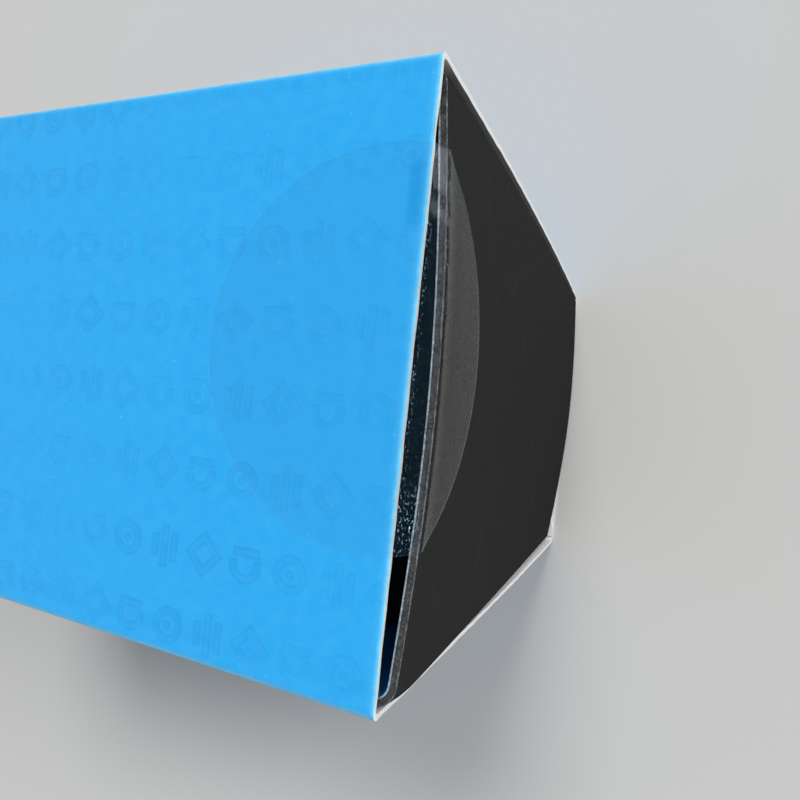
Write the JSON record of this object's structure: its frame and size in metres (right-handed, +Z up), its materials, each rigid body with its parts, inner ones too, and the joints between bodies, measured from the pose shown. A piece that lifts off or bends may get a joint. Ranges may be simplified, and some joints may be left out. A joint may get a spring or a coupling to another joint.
{
  "type": "sleeved carton",
  "caption": "Sleeved presentation carton: a printed paperboard sleeve over an open inner box with a card insert, held by a round clear film seal.",
  "frame": {"origin": "centre of the underside", "axes": "+X along the sleeve towards the sealed end, +Z up"},
  "size_m": [0.1142, 0.0492, 0.0812],
  "materials": {
    "sleeve_board": "satin print, white raw edges",
    "box_board": "semi-gloss black print, blue inside",
    "insert_card": "matt black card",
    "seal_film": "clear gloss film"
  },
  "bodies": {
    "sleeve": {"outer_sleeve": "sleeve_board", "seal_top": "seal_film"},
    "box": {"inner_box": "box_board"},
    "insert": {"insert_deck": "insert_card", "insert_well": "insert_card"},
    "seal_flap": {"seal_tail": "seal_film"}
  },
  "joints": [
    {"name": "box_slide", "type": "slide", "parent": "sleeve", "child": "box", "axis": [-1, 0, 0], "range_m": [0, 0.112]},
    {"name": "insert_lift", "type": "slide", "parent": "box", "child": "insert", "axis": [0, 0, 1], "range_m": [0, 0.014]},
    {"name": "seal_lift", "type": "hinge", "parent": "sleeve", "child": "seal_flap", "pos_m": [0.055, 0, 0.0811], "axis": [0, -1, 0], "range_deg": [0, 130]}
  ]
}
